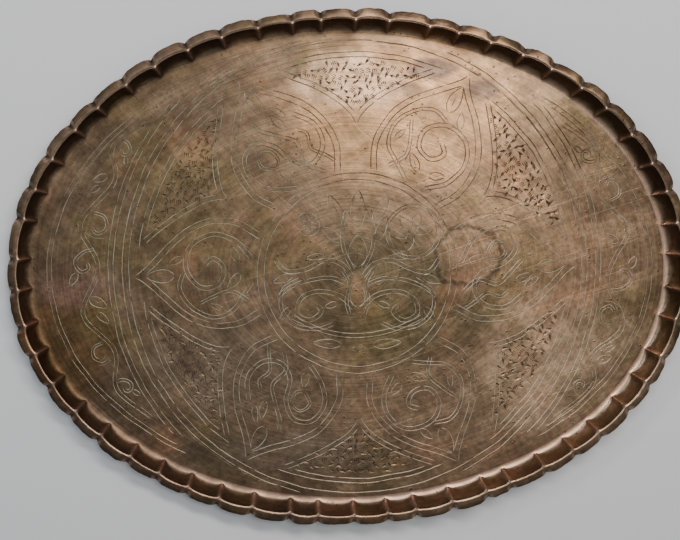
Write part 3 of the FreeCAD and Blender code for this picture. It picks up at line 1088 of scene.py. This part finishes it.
def stained_base(n, p):
    """Brown oxide, warmer toward the right, with stains, two painted highlights, red and olive patches and
    a ring mark.
    """
    base = n.mix(p.rightward, (0.157, 0.106, 0.065, 1.0), (0.260, 0.168, 0.100, 1.0))
    for centre, size, ragged, colour, strength in STAINS_AND_PAINTED_HIGHLIGHTS:
        inside = n.span(n.blob(centre, size, ragged), 1.0, 0.55, 0.0, strength)
        base = n.mix(inside, base, colour)
    redder = n.span(n.noise(16.0, 4.0, 0.55), 0.52, 0.72, 0.0, 0.4)
    base = n.mix(redder, base, (0.35, 0.170, 0.088, 1.0))
    olive = n.span(n.noise(11.0, 5.0, 0.6, distortion=0.6), 0.47, 0.66, 0.0, 0.52)
    base = n.mix(olive, base, (0.160, 0.118, 0.048, 1.0))
    ringed = n.blob((0.1035, 0.012), (0.029, 0.029), 0.55, 30.0)
    ringed = n.times(n.span(ringed, 0.84, 0.96), n.span(ringed, 1.12, 1.0, 0.0, 0.8))
    return n.mix(ringed, base, (0.07, 0.05, 0.03, 1.0))


def scoured(n, p, base):
    """The base darkened and lightened in small contrasts by mottling, wiping and scouring."""
    crosswipes = n.streaks(60.0, 8.0, -52.0, 5.0, 0.66)
    shade = n.span(p.mottle, 0.34, 0.66, 0.84, 1.12)
    for pattern, low, high, dark, light in ((p.wipes, 0.36, 0.66, 0.80, 1.20),
                                            (crosswipes, 0.38, 0.66, 0.85, 1.15),
                                            (p.rings, 0.36, 0.66, 0.88, 1.12),
                                            (p.fine, 0.32, 0.68, 0.84, 1.16),
                                            (p.scratches, 0.0, 1.0, 1.0, 1.14)):
        shade = n.times(shade, n.span(pattern, low, high, dark, light))
    return n.tone(base, shade)


def wear_dirt_and_painted_light(n, p, base):
    """Painted shade with some dirt on the rim's walls and lip, and dark specks; pale metal where worn
    bright and where highlights are painted.
    """
    # painted shade: near-black mixed in where the shade-and-dirt mask is high, deepest on the niche walls,
    # with dirt on the lip
    base = n.mix(n.times(p.painted_shade_and_dirt, 0.86), base, (0.036, 0.017, 0.009, 1.0))
    # pale metal where worn bright on the crest and ribs, and painted highlights on the lip's shoulders, the
    # knobs and the cove's foot
    rubbed_and_highlit = n.times(p.wear_and_highlight, n.span(p.mottle, 0.3, 0.6, 0.35, 0.85))
    base = n.mix(rubbed_and_highlit, base, (0.70, 0.46, 0.35, 1.0))
    return n.mix(n.times(p.specks, 0.75), base, (0.045, 0.03, 0.02, 1.0))


def filled_cuts(n, p, base):
    """Pale polish and dark dirt left in the cuts, the dark fill set in the floor's highlit area as painted
    shade, and soot in the pits.
    """
    pale = n.mix(p.leftward, (0.54, 0.46, 0.34, 1.0), (0.42, 0.41, 0.29, 1.0))
    dark = n.mix(p.leftward, (0.105, 0.072, 0.046, 1.0), (0.15, 0.13, 0.08, 1.0))
    # painted shade: in the floor's bright highlit area most cuts take the dark fill, elsewhere most take
    # the pale polish
    highlit_area = n.span(n.blob((0.070, 0.140), (0.190, 0.120), 0.5), 1.0, 0.6, 0.28, 0.56)
    choice = n.span(n.math("SUBTRACT", n.noise(34.0, 3.0), highlit_area), -0.08, 0.08)
    base = n.mix(p.filled, base, n.mix(choice, dark, pale))
    sooty = n.mix(p.leftward, (0.085, 0.058, 0.038, 1.0), (0.17, 0.155, 0.10, 1.0))
    soot = n.times(n.span(n.attribute("pit"), 0.05, 0.45), n.span(p.mottle, 0.35, 0.6, 0.35, 0.8))
    return n.mix(soot, base, sooty)


def copper_roughness(n, p):
    """Smoother at the right, where worn and where highlights are painted; rougher under painted shade and
    dirt.
    """
    rough = n.span(p.rightward, 0.0, 1.0, 0.50, 0.38)
    rough = n.math("ADD", rough, n.span(p.clouds, 0.3, 0.7, -0.04, 0.04))
    rough = n.math("ADD", rough, n.span(p.mottle, 0.35, 0.65, 0.02, -0.02))
    grain = n.times(n.times(n.math("SUBTRACT", p.fine, 0.5), 0.2), p.relief)
    rough = n.math("ADD", rough, grain)
    rough = n.math("SUBTRACT", rough, n.times(p.wear_and_highlight, 0.15))
    return n.math("ADD", rough, n.times(p.painted_shade_and_dirt, 0.12))


def copper_normal(n, p):
    """Small waves, scouring grooves, scratches and specks, each faded where the metal is worn and where
    highlights are painted.
    """
    grooves = n.math("ADD", p.rings, p.wipes)
    normal = None
    for height, distance, strength in ((n.noise(75.0, 4.0, 0.6), 0.0007, 0.45), (grooves, 0.0004, 0.30),
                                       (p.scratches, -0.0001, 0.4), (p.specks, 0.0003, 0.5)):
        normal = n.bump(n.times(height, p.relief), distance, strength, below=normal)
    return normal


def worn_copper_and_painted_light():
    """Old copper: brown oxide, worn bright in places, scoured and stained, with filled cuts, painted shade
    on the rim and painted highlights on rim and floor.
    """
    n = Nodes("worn_copper_and_painted_light")
    p = Patterns(n)
    base = filled_cuts(n, p, wear_dirt_and_painted_light(n, p, scoured(n, p, stained_base(n, p))))
    metallic = n.math("SUBTRACT", 0.92, n.times(p.filled, 0.75))
    return n.finish(Base_Color=base, Metallic=metallic, Roughness=copper_roughness(n, p),
                    Normal=copper_normal(n, p))


def dark_iron():
    """Oxidised iron wire with rust bloom."""
    n = Nodes("dark_iron_wire")
    rust = n.span(n.noise(90.0, 4.0, 0.6), 0.45, 0.65)
    return n.finish(Base_Color=n.mix(rust, (0.09, 0.075, 0.065, 1.0), (0.16, 0.075, 0.04, 1.0)),
                    Metallic=n.math("SUBTRACT", 0.9, n.times(rust, 0.6)),
                    Roughness=n.span(n.noise(300.0, 3.0), 0.3, 0.7, 0.5, 0.8),
                    Normal=n.bump(n.noise(600.0, 3.0), 0.0003, 0.5))


def pale_paper():
    """Matt pale floor with a barely visible tooth."""
    n = Nodes("pale_floor")
    return n.finish(Base_Color=n.mix(n.noise(3.0, 3.0), (0.70, 0.71, 0.71, 1.0), (0.74, 0.745, 0.74, 1.0)),
                    Roughness=0.9, Normal=n.bump(n.noise(900.0, 2.0), 0.0002, 0.3))


# ---------------------------------------------------------------- floor, light, camera

def add_stage():
    """Pale floor under the tray."""
    half, cells = 10.0, 20
    steps = np.linspace(-half, half, cells + 1)
    points = [(x, y, -0.0002) for y in steps for x in steps]
    across = cells + 1
    faces = [(row * across + column, row * across + column + 1,
              (row + 1) * across + column + 1, (row + 1) * across + column)
             for row in range(cells) for column in range(cells)]
    mesh = bpy.data.meshes.new("pale_floor")
    mesh.from_pydata(points, [], faces)
    floor = bpy.data.objects.new("pale_floor", mesh)
    bpy.context.scene.collection.objects.link(floor)
    mesh.materials.append(pale_paper())


def aim(item, target):
    """Point a light or camera at a place."""
    item.rotation_euler = (Vector(target) - item.location).to_track_quat("-Z", "Y").to_euler()


def add_light(name, place, target, size, power, colour):
    light = bpy.data.lights.new(name, "AREA")
    light.shape = "RECTANGLE"
    light.size, light.size_y = size
    light.energy = power
    light.color = colour
    item = bpy.data.objects.new(name, light)
    item.location = place
    bpy.context.scene.collection.objects.link(item)
    aim(item, target)


def add_lights():
    """A dim room that is brighter overhead, two soft lamps and a bluish window at the far left."""
    world = bpy.data.worlds.new("soft_studio")
    bpy.context.scene.world = world
    world.use_nodes = True
    tree = world.node_tree
    background = tree.nodes["Background"]
    direction = tree.nodes.new("ShaderNodeTexCoord")
    parts = tree.nodes.new("ShaderNodeSeparateXYZ")
    climb = tree.nodes.new("ShaderNodeMapRange")
    tint = tree.nodes.new("ShaderNodeMix")
    tint.data_type = "RGBA"
    tree.links.new(direction.outputs["Generated"], parts.inputs[0])
    tree.links.new(parts.outputs["Z"], climb.inputs["Value"])
    tree.links.new(climb.outputs["Result"], tint.inputs[0])
    tree.links.new(tint.outputs[2], background.inputs["Color"])
    tint.inputs[6].default_value = (0.20, 0.21, 0.22, 1.0)
    tint.inputs[7].default_value = (0.88, 0.93, 1.0, 1.0)
    background.inputs["Strength"].default_value = 0.42
    add_light("key", (0.20, 0.33, 1.6), (0.05, 0.05, 0.0), (0.45, 0.40), 6.3, (1.0, 0.96, 0.91))
    add_light("lamp", (0.30, 0.80, 1.28), (0.0, 0.0, 0.0), (1.1, 0.22), 14.0, (1.0, 0.92, 0.90))
    add_light("window", (-0.95, 0.75, 1.0), (0.0, 0.0, 0.0), (0.8, 0.2), 5.0, (0.74, 0.86, 1.0))


def add_camera():
    """Over the tray and a little toward its far left side, as the photograph looks at it."""
    distance = 0.95
    aim_point = Vector((-0.0135, 0.0021, FOLD_HEIGHT * MM))
    lean, sway = math.radians(5.0), math.radians(-3.5)
    toward = Vector((math.sin(sway), math.sin(lean), 0.0))
    toward.z = math.sqrt(1 - toward.length_squared)
    camera = bpy.data.cameras.new("camera")
    camera.sensor_width = 36.0
    camera.lens = 57.7
    camera.clip_start = 0.02
    item = bpy.data.objects.new("camera", camera)
    item.location = aim_point + distance * toward
    across = Vector((0.0, 1.0, 0.0)).cross(toward).normalized()
    upward = toward.cross(across)
    facing = Matrix((across, upward, toward)).transposed()
    item.rotation_euler = (facing @ Matrix.Rotation(math.radians(0.3), 3, "Z")).to_euler()
    bpy.context.scene.collection.objects.link(item)
    bpy.context.scene.camera = item


def main():
    line = CrimpLine()
    graver = Graver(line, 54)
    border(graver)
    medallion(graver)
    petals(graver)
    spandrels(graver)
    crescents(graver, line)
    pan, crook = build_pan(line, graver)
    pan.data.materials.append(worn_copper_and_painted_light())
    wire = build_wire(crook)
    wire.data.materials.append(dark_iron())
    add_stage()
    add_lights()
    add_camera()


main()
